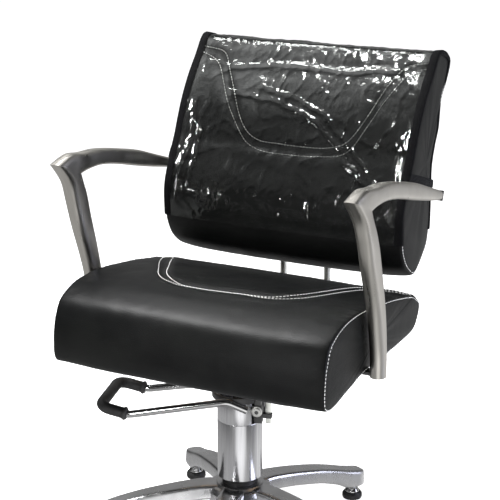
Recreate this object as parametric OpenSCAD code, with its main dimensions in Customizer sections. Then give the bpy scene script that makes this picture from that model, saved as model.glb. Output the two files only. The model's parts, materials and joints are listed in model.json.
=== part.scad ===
// Hydraulic salon styling chair: five-leg cast base, foot-pumped column, upholstered seat,
// wedge backrest under a clear slip-on cover, and two bent steel armrests.
// Origin: on the floor under the column axis. +Z is up and the sitter faces -Y. Millimetres.

/* [Base] */
// Radius from the column axis to each foot
foot_circle_r = 277; // [260:1:285]
// Radius from the column axis to the leg ends
leg_reach = 300; // [296:1:310]
// Width of a leg at its outer end
leg_tip_w = 36; // [32:1:42]
// Width of a leg where it leaves the hub
leg_root_w = 46; // [40:1:52]
// Turn of the first leg from the +X axis
leg_phase = 352.7; // [340:0.1:360]

/* [Column] */
// Outside radius of the chrome jacket and the collar
jacket_r = 41.5; // [41:0.1:42]
// Height of the jacket's lower edge
jacket_z0 = 128; // [126:1:130]
// Height of the joint between jacket and collar
collar_z0 = 239; // [236:1:239]
// Radius of the ram
ram_r = 13; // [12.5:0.1:13.5]
// Radius of the pumping plunger
plunger_r = 3.5; // [3:0.1:3.7]

/* [Pump lever] */
// Direction of the lever, from the +X axis
lever_az = 196; // [190:1:200]
// Distance of the lever pivot behind the column axis
pivot_back = 38; // [38:0.5:39]
// Height of the lever pivot
pivot_z = 266; // [265:1:267]
// Distance of the stirrup bar from the column axis
stirrup_reach = 247; // [235:1:260]
// Half the distance between the two lever rods
stirrup_half_w = 65; // [56:1:68]
// Radius of the lever rod
lever_rod_r = 7; // [6:0.5:7]
// Radius of the rubber grip
grip_r = 10.5; // [10:0.5:12]

/* [Seat] */
// Half the width of the seat cushion
seat_half_w = 263; // [240:1:263]
// Height of the seat's underside
seat_z = 387; // [385:1:390]

/* [Armrests] */
// Distance of each armrest's middle plane from the chair's middle
arm_x = 280; // [276:1:290]
// Width of the armrest tube
arm_w = 30; // [28:1:32]

/* [Backrest] */
// Half the width of the backrest
back_half_w = 245; // [240:1:250]
// Half the distance between the two support tubes
back_tube_x = 47; // [40:1:60]
// Radius of a support tube
back_tube_r = 6.5; // [5:0.5:8]
// Width of the slots that the support tubes run in, in the wooden back frame
tube_slot = 14; // [13.5:0.5:18]

/* [Cover] */
// Thickness of the clear sheet
sheet_t = 1; // [0.8:0.1:1.2]
// Gap between the cushion and the sheet
sheet_gap = 0.6; // [0.4:0.1:1]
// Width of the fabric binding along the sheet's edges
binding_w = 10; // [8:1:14]

/* [Hidden] */
$fn = 64;

run_gap = 0.05;          // radial clearance of every running fit
part_gap = 0.4;          // gap between neighbouring parts that move apart
leg_count = 5;
leg_step = 360 / leg_count;
hub_r = 60;
hub_z0 = 78;
leg_start = 32;          // the legs run this far into the hub
hub_z1 = 114;
pad_h = 13;
seal_r = 33;
cylinder_r = 18;
cylinder_bore_r = 16;
cylinder_z0 = 56;
cylinder_z1 = 262;
collar_z1 = 284;
collar_bore_r = 36;
head_z0 = 236;
head_z1 = 246;
notch_z = 240;
notch_back = 28;         // the collar is cut away further back than this
ear_in = 8.4;            // inner and outer faces of the two pivot ears
ear_out = 23;
ear_r = 7.5;
pin_r = 6;
cheek_in = ear_out + 0.3;
cheek_out = 31;
washer_in = cheek_out + 0.3;
washer_t = 2;
bolt_head_t = 4;
yoke_top = 295;
yoke_ring_in = 46;
yoke_ring_out = 51;
plunger_back = 24.5;     // distance of the plunger behind the column axis
cap_top = 266;
cap_h = 4;
cap_r = 5;
nose_r = 6;
ram_z0 = 90;
ram_z1 = 352;
piston_h = 20;
spigot_r = 11;
spigot_z = 322;
thrust_t = 2;
plate_t = 6;             // thickness of each flat steel layer under the seat
rail_z = seat_z - plate_t;
cross_z = rail_z - plate_t;
saddle_z = cross_z - plate_t;
socket_z = spigot_z + thrust_t + part_gap;
arm_y = -26;             // the posts' foot
board_t = 15;
saddle_bolt_x = 65;
saddle_bolt_y = 62;

// ---- outlines: each entry is [point, corner radius] ----

seat_outline = [
  [[-166, 365], 14], [[-211, 370], 16], [[-231, 430], 44], [[-216, 499], 44],
  [[-97, 511], 90], [[173, 470], 20], [[218, 448], 18], [[207, 408], 14],
  [[196, 387], 6], [[-112, 387], 8], [[-135, 379], 10]
];

back_outline = [
  [[156, 535], 22], [[158, 619], 40], [[206, 723], 60], [[272, 830], 60],
  [[309, 884], 18], [[352, 881], 20], [[374, 853], 14], [[328, 787], 40],
  [[291, 647], 60], [[293, 549], 30], [[226, 478], 16]
];

arm_outline = [
  [[-39, 380], 1], [[-43, 430], 60], [[-68, 522], 60], [[-110, 640], 60], [[-128, 681], 20],
  [[-164, 716], 4], [[-117, 728], 30], [[10, 714], 60], [[110, 690], 60], [[227, 651], 1],
  [[221, 633], 1], [[103, 660], 60], [[-29, 690], 40], [[-88, 688], 10], [[-64, 630], 60],
  [[-29, 515], 60], [[-13, 430], 60], [[-13, 380], 1]
];

// The lever rod, from the yoke to the middle of the stirrup bar, in the lever's own axes:
// [distance along the lever, distance across it, height], bend radius.
lever_half = [
  [[-22, 46, 273], 0], [[12, 56, 290], 24], [[192, stirrup_half_w, 255], 30],
  [[stirrup_reach, stirrup_half_w, 267], 20], [[stirrup_reach, 0, 267], 0]
];

tube_route = [
  [[150, 367], 0], [[273, 367], 30], [[273, 505], 60], [[256, 600], 0]
];

// ---- functions ----

function unit(v) = v / norm(v);

// Points of the arc that rounds corner q between its neighbours p and s with radius r.
function corner(p, q, s, r, steps) =
  let (a = unit(p - q), b = unit(s - q), half = acos(a * b) / 2,
       reach = r / tan(half), mid = q + unit(a + b) * r / sin(half),
       from = q + a * reach - mid, to = q + b * reach - mid, sweep = 180 - 2 * half)
  [for (k = [0 : steps])
    mid + (sin(sweep * (1 - k / steps)) * from + sin(sweep * k / steps) * to) / sin(sweep)];

// A closed outline with every corner rounded.
function closed(list, steps = 6) =
  let (n = len(list))
  [for (i = [0 : n - 1])
    each corner(list[(i + n - 1) % n][0], list[i][0], list[(i + 1) % n][0], list[i][1], steps)];

// An open route whose inner corners are rounded.
function route(list, steps = 5) =
  let (n = len(list))
  [for (i = [0 : n - 1])
    each (i == 0 || i == n - 1) ? [list[i][0]]
      : corner(list[i - 1][0], list[i][0], list[i + 1][0], list[i][1], steps)];

function mirrored(p) = [p[0], -p[1], p[2]];

function tangent(path, i) =
  unit(path[min(i + 1, len(path) - 1)] - path[max(i - 1, 0)]);

// Normals carried along the path without twist.
function normals(path, i, last) =
  let (t = tangent(path, i), n = unit(last - (last * t) * t))
  i == len(path) - 1 ? [n] : concat([n], normals(path, i + 1, n));

// ---- helpers ----

module tube_sweep(path, r, sides = 12) {
  rings = len(path);
  start = abs(tangent(path, 0)[2]) > 0.9 ? [1, 0, 0] : [0, 0, 1];
  side = normals(path, 0, start);
  points = [for (i = [0 : rings - 1], k = [0 : sides - 1])
    let (t = tangent(path, i), a = 360 * k / sides)
    path[i] + r * (cos(a) * side[i] + sin(a) * cross(t, side[i]))];
  wall = [for (i = [0 : rings - 2], k = [0 : sides - 1])
    let (a = i * sides + k, b = i * sides + (k + 1) % sides)
    each [[a, a + sides, b], [b, a + sides, b + sides]]];
  ends = [[for (k = [0 : sides - 1]) k],
          [for (k = [sides - 1 : -1 : 0]) (rings - 1) * sides + k]];
  polyhedron(points, concat(wall, ends));
}

module ring(r_out, r_in, z0, z1) {
  translate([0, 0, z0]) difference() {
    cylinder(h = z1 - z0, r = r_out);
    translate([0, 0, -1]) cylinder(h = z1 - z0 + 2, r = r_in);
  }
}

module rod_z(r, z0, z1) translate([0, 0, z0]) cylinder(h = z1 - z0, r = r);

module rod_x(r, x0, x1) translate([x0, 0, 0]) rotate([0, 90, 0]) cylinder(h = x1 - x0, r = r);

module rod_y(r, y0, y1) translate([0, y0, 0]) rotate([-90, 0, 0]) cylinder(h = y1 - y0, r = r);

// Extrudes a side view, drawn in Y and Z, along X.
module along_x(x0, x1) translate([x0, 0, 0]) rotate([90, 0, 90]) linear_extrude(x1 - x0) children();

// Extrudes a side view, drawn in X and Z, along Y.
module along_y(y0, y1) translate([0, y1, 0]) rotate([90, 0, 0]) linear_extrude(y1 - y0) children();

module box(from, to) translate(from) cube(to - from);

module both_sides() {
  children();
  mirror([1, 0, 0]) children();
}

module lever_axes() rotate([0, 0, lever_az]) children();

module at_pivot() lever_axes() translate([-pivot_back, 0, pivot_z]) children();

module each_leg() for (k = [0 : leg_count - 1]) rotate([0, 0, leg_phase + k * leg_step]) children();

// ---- base ----

module leg_side() {
  polygon(concat(
    [[leg_start, 81], [60, 84], [124, 74], [183, 61], [232, 43], [252, 27], [leg_reach, 27]],
    corner([leg_reach, 27], [leg_reach, 50], [255, 68], 8, 4),
    [[255, 68], [224, 79], [190, 89], [150, 98], [112, 105.5], [67, 112], [leg_start, 112.6]]
  ));
}

module leg_plan() {
  polygon([[leg_start, -leg_root_w / 2], [120, -leg_root_w / 2 + 3], [leg_reach, -leg_tip_w / 2],
           [leg_reach, leg_tip_w / 2], [120, leg_root_w / 2 - 3],
           [leg_start, leg_root_w / 2]]);
}

module star_base() {
  color("#b9babd") difference() {
    union() {
      each_leg() intersection() {
        along_y(-leg_root_w, leg_root_w) leg_side();
        linear_extrude(200) leg_plan();
      }
      rod_z(hub_r, hub_z0, hub_z1 - 4);
      rod_z(seal_r + 9, hub_z0, hub_z1);
    }
    rod_z(cylinder_r, 0, 200);
    each_leg() translate([foot_circle_r, 0, 0]) rod_z(4, 0, 45);
  }
}

module foot_stems() {
  color("#c9cacc") each_leg() translate([foot_circle_r, 0, 0]) rod_z(4, 15, 45);
}

module foot_cups() {
  color("#d5d6d8") each_leg() translate([foot_circle_r, 0, 0]) difference() {
    rotate_extrude() polygon([[0, pad_h], [14, pad_h], [14, 17], [10, 22], [0, 22]]);
    rod_z(4, 15, 30);
  }
}

module foot_pads() {
  color("#151515") each_leg() translate([foot_circle_r, 0, 0])
    rotate_extrude() polygon([[0, 0], [17, 0], [19.5, 2.5], [19.5, 10], [17, pad_h], [0, pad_h]]);
}

// ---- column and pump ----

module column_seal() {
  color("#111111") ring(seal_r, cylinder_r, hub_z1, jacket_z0);
}

module reservoir_floor() {
  color("#8e8f92") ring(jacket_r - 2, cylinder_r, jacket_z0, jacket_z0 + 6);
}

module column_jacket() {
  color("#d8d9db") ring(jacket_r, jacket_r - 2, jacket_z0, collar_z0);
}

module pump_collar() {
  color("#d8d9db") difference() {
    ring(jacket_r, collar_bore_r, collar_z0, collar_z1);
    lever_axes() box([-60, -50, notch_z], [-notch_back, 50, collar_z1 + 1]);
  }
}

module pump_cylinder() {
  color("#9a9b9e") difference() {
    rod_z(cylinder_r, cylinder_z0, cylinder_z1);
    rod_z(cylinder_bore_r, cylinder_z0 + 12, cylinder_z1 + 1);
  }
}

module base_washer() {
  color("#9a9b9e") ring(32, cylinder_r, hub_z0 - 3, hub_z0);
}

module base_nut() {
  color("#8e8f92") difference() {
    translate([0, 0, hub_z0 - 15]) cylinder(h = 12, r = 30, $fn = 6);
    rod_z(cylinder_r, 0, 100);
  }
}

module ear_side() {
  circle(r = ear_r);
  translate([-ear_r, notch_z - pivot_z]) square([2 * ear_r, pivot_z - notch_z]);
}

module pump_head() {
  color("#1b1b1c") difference() {
    union() {
      rod_z(collar_bore_r, head_z0, head_z1);
      for (side = [-1, 1]) at_pivot() mirror([0, side < 0 ? 1 : 0, 0])
        along_y(ear_in, ear_out) ear_side();
    }
    rod_z(cylinder_r, 0, 300);
    lever_axes() translate([-plunger_back, 0, 0]) rod_z(plunger_r + run_gap, 0, 300);
    at_pivot() rod_y(pin_r, -50, 50);
  }
}

module gland_bush() {
  color("#c2a14a") difference() {
    union() {
      rod_z(cylinder_bore_r, cylinder_z1 - 23, cylinder_z1);
      rod_z(cylinder_r - 1.5, cylinder_z1, cylinder_z1 + 4);
    }
    rod_z(ram_r + run_gap, 0, 400);
  }
}

module pivot_pin() {
  color("#c9cacc") at_pivot() rod_y(pin_r, -washer_in - washer_t, washer_in + washer_t);
}

module pivot_washers() {
  color("#d5d6d8") for (side = [0, 1]) at_pivot() mirror([0, side, 0]) difference() {
    rod_y(10, washer_in, washer_in + washer_t);
    rod_y(pin_r, 0, 50);
  }
}

module pivot_bolt_heads() {
  color("#c9cacc") for (side = [0, 1]) at_pivot() mirror([0, side, 0]) difference() {
    rod_y(7.5, washer_in + washer_t, washer_in + washer_t + bolt_head_t);
    translate([0, washer_in + washer_t + 1, 0]) rotate([-90, 0, 0]) cylinder(h = 9, r = 4, $fn = 6);
  }
}

stop_rod_at = [-56, 15];

module stop_bar(low, high) {
  translate(stop_rod_at) box([-5, -2, low], [5, 2, high]);
}

module stop_rod() {
  color("#dcdcda") lever_axes() stop_bar(238, 302);
}

module stop_rod_clip() {
  color("#1b1b1c") lever_axes() difference() {
    box([stop_rod_at[0] - 7, ear_in + 1, 250], [-pivot_back - ear_r, ear_out - 1, 258]);
    stop_bar(0, 400);
  }
}

// ---- lever ----

module cheek_side() {
  circle(r = 9.4);
  polygon([[-8.5, 0], [7, 0], [3, 18], [-8.5, 18]]);
}

// The tongue between the ears, with the nose that presses the plunger.
module tongue_side() {
  nose = [pivot_back - plunger_back, nose_r];
  circle(r = 8);
  translate(nose) circle(r = nose_r);
  polygon([[-8, 0], [8, 0], [nose[0], 1], [nose[0] + 5, 9], [3, 18], [-8, 18]]);
}

module lever_yoke() {
  color("#1b1b1c") difference() {
    union() {
      at_pivot() {
        for (side = [0, 1]) mirror([0, side, 0]) along_y(cheek_in, cheek_out) cheek_side();
        along_y(-ear_in + 0.4, ear_in - 0.4) tongue_side();
        along_y(-cheek_out - 7, cheek_out + 7)
          polygon([[-8.5, 15], [3, 15], [3, yoke_top - pivot_z], [-4, yoke_top - pivot_z],
                   [-8.5, yoke_top - pivot_z - 6]]);
      }
      difference() {
        ring(yoke_ring_out, yoke_ring_in, yoke_top - 11, yoke_top);
        lever_axes() box([-90, -60, 200], [-pivot_back + 4, 60, 400]);
      }
    }
    at_pivot() rod_y(pin_r + run_gap, -60, 60);
  }
}

module lever_rod() {
  half = route(lever_half, 6);
  n = len(half);
  path = concat(half, [for (i = [n - 2 : -1 : 0]) mirrored(half[i])]);
  color("#cfd0d2") lever_axes() tube_sweep(path, lever_rod_r, 12);
}

// The grip is a rubber sleeve around the stirrup's three sides.
module lever_grip() {
  bar = [
    [[194, stirrup_half_w, 255.4], 0], [[stirrup_reach, stirrup_half_w, 267], 20],
    [[stirrup_reach, -stirrup_half_w, 267], 20], [[194, -stirrup_half_w, 255.4], 0]
  ];
  color("#161617") lever_axes() tube_sweep(route(bar, 6), grip_r, 12);
}

// ---- plunger ----

module at_plunger() lever_axes() translate([-plunger_back, 0, 0]) children();

module plunger() {
  color("#c9cacc") at_plunger() rod_z(plunger_r, 200, cap_top - cap_h);
}

module plunger_cap() {
  color("#9a9b9e") at_plunger() rod_z(cap_r, cap_top - cap_h, cap_top - 0.5);
}

module plunger_spring() {
  color("#8e8f92") at_plunger() ring(cap_r - 0.1, plunger_r + 0.4, head_z1, cap_top - cap_h);
}

// ---- ram ----

module ram() {
  color("#dcdde0") union() {
    rod_z(ram_r, ram_z0 + piston_h, spigot_z);
    rod_z(spigot_r, ram_z0, ram_z0 + piston_h + 1);
    rod_z(spigot_r, spigot_z - 1, ram_z1);
  }
}

module ram_piston() {
  color("#9a9b9e") difference() {
    ring(cylinder_bore_r - run_gap, spigot_r, ram_z0, ram_z0 + piston_h);
    ring(cylinder_bore_r + 1, cylinder_bore_r - 3, ram_z0 + 8, ram_z0 + 12);
  }
}

module piston_seal() {
  color("#111111") ring(cylinder_bore_r - run_gap, cylinder_bore_r - 3, ram_z0 + 8, ram_z0 + 12);
}

module thrust_washer() {
  color("#c2a14a") ring(24, spigot_r, spigot_z, spigot_z + thrust_t);
}

// ---- seat mechanism ----

module saddle_bolt_places() {
  for (x = [-1, 1], y = [-1, 1]) translate([x * saddle_bolt_x, y * saddle_bolt_y, 0]) children();
}

module seat_socket() {
  color("#1b1b1c") difference() {
    union() {
      rod_z(28, socket_z, saddle_z - 10);
      translate([0, 0, saddle_z - 10]) cylinder(h = 10, r1 = 28, r2 = 42);
    }
    rod_z(spigot_r + run_gap, 0, ram_z1 + 4);
  }
}

module seat_saddle() {
  color("#232324") difference() {
    box([-90, -85, saddle_z], [90, 85, cross_z]);
    saddle_bolt_places() rod_z(4, 300, 400);
  }
}

module saddle_bolts() {
  color("#9a9b9e") saddle_bolt_places() {
    translate([0, 0, saddle_z - 5]) cylinder(h = 5, r = 7, $fn = 6);
    rod_z(4, saddle_z, rail_z);
  }
}

module seat_frame() {
  color("#232324") difference() {
    union() {
      box([-90, -85, cross_z], [90, 85, rail_z]);
      box([-250, arm_y - 25, cross_z], [250, arm_y + 25, rail_z]);
      both_sides() box([back_tube_x - 20, -110, rail_z], [back_tube_x + 20, 190, seat_z]);
    }
    saddle_bolt_places() rod_z(4, 300, rail_z + 0.01);
    both_sides() for (x = [215, 237]) translate([x, arm_y, 0]) rod_z(3, 300, 400);
    both_sides() for (y = [-95, 170]) translate([back_tube_x, y, 0]) rod_z(2.5, 300, 400);
  }
}

module seat_board() {
  color("#c8a878") difference() {
    box([-225, -50, seat_z], [225, 185, seat_z + board_t]);
    both_sides() translate([back_tube_x, 170, 0]) rod_z(2.5, 300, seat_z + 10);
  }
}

module board_screws() {
  color("#9a9b9e") both_sides() translate([back_tube_x, 170, 0]) {
    rod_z(2.5, rail_z, seat_z + 10);
    rod_z(5, rail_z - 3, rail_z);
  }
}

module seat_cushion() {
  color("#1c1d20") difference() {
    along_x(-seat_half_w, seat_half_w) polygon(closed(seat_outline));
    box([-225, -50, 300], [225, 185, seat_z + board_t]);
  }
}

// ---- armrests ----

module arm(side) {
  color("#b4ada4") mirror([side < 0 ? 1 : 0, 0, 0])
    along_x(arm_x - arm_w / 2, arm_x + arm_w / 2) polygon(closed(arm_outline, 4));
}

module arm_left() arm(-1);

module arm_right() arm(1);

module arm_tabs() {
  color("#232324") both_sides() difference() {
    box([195, arm_y - 11, rail_z], [arm_x - 8, arm_y + 11, seat_z]);
    for (x = [215, 237]) translate([x, arm_y, 0]) rod_z(3, 300, 400);
  }
}

module arm_tab_bolts() {
  color("#9a9b9e") both_sides() for (x = [215, 237]) translate([x, arm_y, 0]) {
    rod_z(3, cross_z, seat_z);
    rod_z(5.5, cross_z - 4, cross_z);
  }
}

module arm_end_caps() {
  color("#1b1b1c") both_sides() along_x(arm_x - arm_w / 2, arm_x + arm_w / 2)
    polygon([[221, 633], [227, 651], [231.5, 649.5], [225.5, 631.5]]);
}

module arm_foot_caps() {
  color("#1b1b1c") both_sides() translate([arm_x, arm_y, 0]) rod_z(12, 377, 380);
}

arm_fix = [215, 641];

module arm_spacers() {
  color("#1b1b1c") both_sides() translate([0, arm_fix[0], arm_fix[1]]) difference() {
    rod_x(7, back_half_w, arm_x - arm_w / 2);
    rod_x(4, 0, 400);
  }
}

module arm_studs() {
  color("#9a9b9e") both_sides() translate([0, arm_fix[0], arm_fix[1]])
    rod_x(4, back_half_w - 30, arm_x - arm_w / 2);
}

// ---- backrest ----

module back_tube(side) {
  path = [for (p = route(tube_route)) [side * back_tube_x, p[0], p[1]]];
  color("#cfd0d2") tube_sweep(path, back_tube_r, 16);
}

module back_tube_left() back_tube(-1);

module back_tube_right() back_tube(1);

// Clamps that hold the tubes under the seat frame's rails.
module tube_collars() {
  color("#232324") both_sides() for (y = [154, 180]) difference() {
    box([back_tube_x - 14, y - 2, 358], [back_tube_x + 14, y + 8, rail_z]);
    translate([back_tube_x, 0, tube_route[0][0][1]]) rod_y(back_tube_r, 100, 250);
  }
}

// Wooden inner frame: a leaning board and two side cleats that take the arm studs.
module leaning_board(from, height) {
  translate([-222, 242, 535]) rotate([-11, 0, 0]) translate([0, 0, from]) cube([444, board_t, height]);
}

module inner_frame() {
  leaning_board(0, 300);
  both_sides() box([190, 200, 610], [222, 262, 672]);
}

module back_frame() {
  color("#c8a878") difference() {
    inner_frame();
    translate([0, arm_fix[0], arm_fix[1]]) both_sides() rod_x(4, back_half_w - 30, 300);
    both_sides() box([back_tube_x - tube_slot / 2, 200, 500], [back_tube_x + tube_slot / 2, 300, 606]);
  }
}

module back_cushion() {
  color("#1c1d20") difference() {
    along_x(-back_half_w, back_half_w) polygon(closed(back_outline));
    inner_frame();
    leaning_board(-60, 62);
    both_sides() translate([0, arm_fix[0], arm_fix[1]]) rod_x(4, back_half_w - 30, 300);
  }
}

// ---- cover ----

// Side view of a skin around the backrest, between two distances from the cushion.
module skin(from, to) {
  difference() {
    offset(delta = to) polygon(closed(back_outline, 4));
    offset(delta = from) polygon(closed(back_outline, 4));
  }
}

cover_low = 556;         // height of the sheet's lower edge
ridge = [327, 892];      // the front and the rear sheet meet below this line's top

module front_zone() {
  polygon([[100, cover_low], [225, cover_low], ridge, [100, 960]]);
}

module rear_zone() {
  polygon([[225, cover_low], [430, cover_low], [430, 960], [ridge[0], 960], ridge]);
}

module cover_front() {
  color([0.8, 0.85, 0.88, 0.35]) along_x(-back_half_w + binding_w, back_half_w - binding_w)
    intersection() {
      skin(sheet_gap, sheet_gap + sheet_t);
      union() {
        front_zone();
        polygon([[100, 882], ridge, [ridge[0], 960], [100, 960]]);
      }
    }
}

module cover_rear() {
  color([0.8, 0.85, 0.88, 0.35]) along_x(-back_half_w + binding_w, back_half_w - binding_w)
    intersection() {
      skin(sheet_gap, sheet_gap + sheet_t);
      rear_zone();
    }
}

module cover_binding(side) {
  color("#141415") mirror([side < 0 ? 1 : 0, 0, 0])
    along_x(back_half_w - binding_w, back_half_w + 2) intersection() {
      skin(sheet_gap, sheet_gap + sheet_t + 1);
      translate([100, cover_low]) square([400, 400]);
    }
}

module cover_binding_left() cover_binding(-1);

module cover_binding_right() cover_binding(1);

module cover_strap(side) {
  color("#141415") mirror([side < 0 ? 1 : 0, 0, 0]) along_x(back_half_w + 2, back_half_w + 3.5)
    polygon([[176, 665], [188, 685], [298, 650], [296, 635]]);
}

module cover_strap_left() cover_strap(-1);

module cover_strap_right() cover_strap(1);

star_base();
foot_stems();
foot_cups();
foot_pads();
column_seal();
column_jacket();
reservoir_floor();
pump_collar();
pump_cylinder();
base_washer();
base_nut();
pump_head();
gland_bush();
pivot_pin();
pivot_washers();
pivot_bolt_heads();
stop_rod();
stop_rod_clip();
lever_yoke();
lever_rod();
lever_grip();
plunger();
plunger_cap();
plunger_spring();
ram();
ram_piston();
piston_seal();
thrust_washer();
seat_socket();
seat_saddle();
saddle_bolts();
seat_frame();
seat_board();
board_screws();
seat_cushion();
arm_left();
arm_right();
arm_tabs();
arm_tab_bolts();
arm_end_caps();
arm_foot_caps();
arm_spacers();
arm_studs();
back_tube_left();
back_tube_right();
tube_collars();
back_frame();
back_cushion();
cover_front();
cover_rear();
cover_binding_left();
cover_binding_right();
cover_strap_left();
cover_strap_right();
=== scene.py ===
"""Looks of the hydraulic styling chair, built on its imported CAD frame. Shapes are drawn in millimetres."""

import json
import math

import bmesh
import bpy
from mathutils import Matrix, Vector, noise
from mathutils.bvhtree import BVHTree


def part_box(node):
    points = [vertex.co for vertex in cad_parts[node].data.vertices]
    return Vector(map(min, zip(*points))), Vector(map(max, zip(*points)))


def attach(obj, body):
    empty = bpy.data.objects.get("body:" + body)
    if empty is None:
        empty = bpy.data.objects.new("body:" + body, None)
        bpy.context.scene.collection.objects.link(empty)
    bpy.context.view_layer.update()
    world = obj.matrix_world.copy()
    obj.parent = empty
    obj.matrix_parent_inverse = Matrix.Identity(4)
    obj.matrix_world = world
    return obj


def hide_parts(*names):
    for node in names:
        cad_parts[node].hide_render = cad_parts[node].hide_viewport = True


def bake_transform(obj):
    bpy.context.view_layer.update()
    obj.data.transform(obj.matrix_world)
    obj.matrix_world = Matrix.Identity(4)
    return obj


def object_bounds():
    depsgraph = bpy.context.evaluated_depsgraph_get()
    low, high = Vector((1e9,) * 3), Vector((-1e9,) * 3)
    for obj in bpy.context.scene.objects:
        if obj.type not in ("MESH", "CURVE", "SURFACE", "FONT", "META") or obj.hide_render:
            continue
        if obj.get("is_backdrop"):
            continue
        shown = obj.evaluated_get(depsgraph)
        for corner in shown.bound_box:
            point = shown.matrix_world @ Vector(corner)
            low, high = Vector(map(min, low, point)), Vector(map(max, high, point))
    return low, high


MM = 0.001
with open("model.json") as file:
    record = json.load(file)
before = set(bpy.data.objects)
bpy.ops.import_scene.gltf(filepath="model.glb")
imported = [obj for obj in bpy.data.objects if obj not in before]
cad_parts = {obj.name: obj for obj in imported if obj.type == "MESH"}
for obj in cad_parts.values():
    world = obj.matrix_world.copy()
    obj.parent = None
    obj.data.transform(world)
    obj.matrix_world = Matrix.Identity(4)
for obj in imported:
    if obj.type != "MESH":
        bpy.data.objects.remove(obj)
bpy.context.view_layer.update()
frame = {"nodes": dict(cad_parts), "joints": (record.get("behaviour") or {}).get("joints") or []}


# ---------------------------------------------------------------- curves

def catmull(p0, p1, p2, p3, t):
    return 0.5 * (
        2 * p1 + (p2 - p0) * t + (2 * p0 - 5 * p1 + 4 * p2 - p3) * t**2 + (3 * p1 - p0 - 3 * p2 + p3) * t**3
    )


def resample(points, step, closed=False):
    """The same line with points an even distance of about step apart."""
    pts = points + [points[0]] if closed else points
    lengths = [0.0]
    for a, b in zip(pts, pts[1:]):
        lengths.append(lengths[-1] + (b - a).length)
    count = max(2, round(lengths[-1] / step))
    out, k = [], 0
    for i in range(count if closed else count + 1):
        want = lengths[-1] * i / count
        while k < len(pts) - 2 and lengths[k + 1] < want:
            k += 1
        span = lengths[k + 1] - lengths[k]
        out.append(pts[k].lerp(pts[k + 1], (want - lengths[k]) / span if span > 1e-9 else 0.0))
    return out


def smooth_line(points, step, closed=False):
    """A smooth line through points, given as tuples, with a point about every step."""
    pts = [Vector(p) for p in points]
    n = len(pts)
    dense = []
    for i in range(n if closed else n - 1):
        near = [pts[j % n] if closed else pts[min(max(j, 0), n - 1)] for j in range(i - 1, i + 3)]
        dense += [catmull(*near, k / 16) for k in range(16)]
    if not closed:
        dense.append(pts[-1])
    return resample(dense, step, closed)


def filleted(points, radii, steps=10):
    """An open line with its inner corners rounded, for bent tubes and lathe profiles."""
    pts = [Vector(p) for p in points]
    out = [pts[0]]
    for before, at, after, r in zip(pts, pts[1:], pts[2:], radii):
        a, b = (before - at).normalized(), (after - at).normalized()
        half = a.angle(b) / 2
        if r <= 0 or half > math.pi / 2 - 0.01:
            out.append(at)
            continue
        reach = min(r / math.tan(half), 0.49 * (before - at).length, 0.49 * (after - at).length)
        r = reach * math.tan(half)
        centre = at + (a + b).normalized() * (r / math.sin(half))
        start, end = at + a * reach - centre, at + b * reach - centre
        turn = start.angle(end)
        for k in range(steps + 1):
            share = k / steps
            spoke = start * math.sin(turn * (1 - share)) + end * math.sin(turn * k / steps)
            out.append(centre + spoke / math.sin(turn))
    return out + [pts[-1]]


def smoothstep(low, high, x):
    t = min(max((x - low) / (high - low), 0.0), 1.0)
    return t * t * (3 - 2 * t)


# ---------------------------------------------------------------- meshes

def piece(name, body, material, bm, stands_for=(), sharp=35):
    """A finished mesh in metres from a bmesh in millimetres, which rides on a body unless that is None."""
    bmesh.ops.recalc_face_normals(bm, faces=bm.faces)
    limit = math.radians(sharp)
    for face in bm.faces:
        face.smooth = True
    for edge in bm.edges:
        edge.smooth = len(edge.link_faces) != 2 or edge.calc_face_angle(0) < limit
    bmesh.ops.scale(bm, vec=(MM, MM, MM), verts=bm.verts)
    mesh = bpy.data.meshes.new(name)
    bm.to_mesh(mesh)
    bm.free()
    obj = bpy.data.objects.new(name, mesh)
    bpy.context.scene.collection.objects.link(obj)
    mesh.materials.append(material)
    if body:
        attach(obj, body)
    if stands_for:
        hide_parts(*stands_for)
    return obj


def loft(bm, rings, close_start=True, close_end=True):
    """Joins rings of equal length with quads, and closes the ends with a fan to a middle point."""
    rows = [[bm.verts.new(p) for p in ring] for ring in rings]
    for a, b in zip(rows, rows[1:]):
        for i in range(len(a)):
            j = (i + 1) % len(a)
            bm.faces.new((a[i], a[j], b[j], b[i]))
    for row, closed in ((rows[0], close_start), (rows[-1], close_end)):
        if closed:
            middle = bm.verts.new(sum((v.co for v in row), Vector()) / len(row))
            for i in range(len(row)):
                bm.faces.new((row[i], row[(i + 1) % len(row)], middle))


def sweep(bm, path, radii, sides=24):
    """A tube along path. radii holds one radius for each of its points."""
    last = len(path) - 1
    tangents = [(path[min(i + 1, last)] - path[max(i - 1, 0)]).normalized() for i in range(last + 1)]
    side = tangents[0].orthogonal().normalized()
    rings = []
    for at, along, r in zip(path, tangents, radii):
        side = (side - along * side.dot(along)).normalized()
        other = along.cross(side)
        turns = [2 * math.pi * k / sides for k in range(sides)]
        rings.append([at + r * (side * math.cos(a) + other * math.sin(a)) for a in turns])
    loft(bm, rings)


def lathe(bm, profile, centre=(0, 0), sides=72, bevel=1.0):
    """A turned shape about a vertical axis. The profile is (radius, z), bottom to top, with sharp corners."""
    line = filleted([(r, z, 0) for r, z in profile], [bevel] * (len(profile) - 2), steps=4)
    rings = [
        [
            Vector((centre[0] + p.x * math.cos(a), centre[1] + p.x * math.sin(a), p.y))
            for a in (2 * math.pi * k / sides for k in range(sides))
        ]
        for p in line
    ]
    loft(bm, rings)


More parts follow.
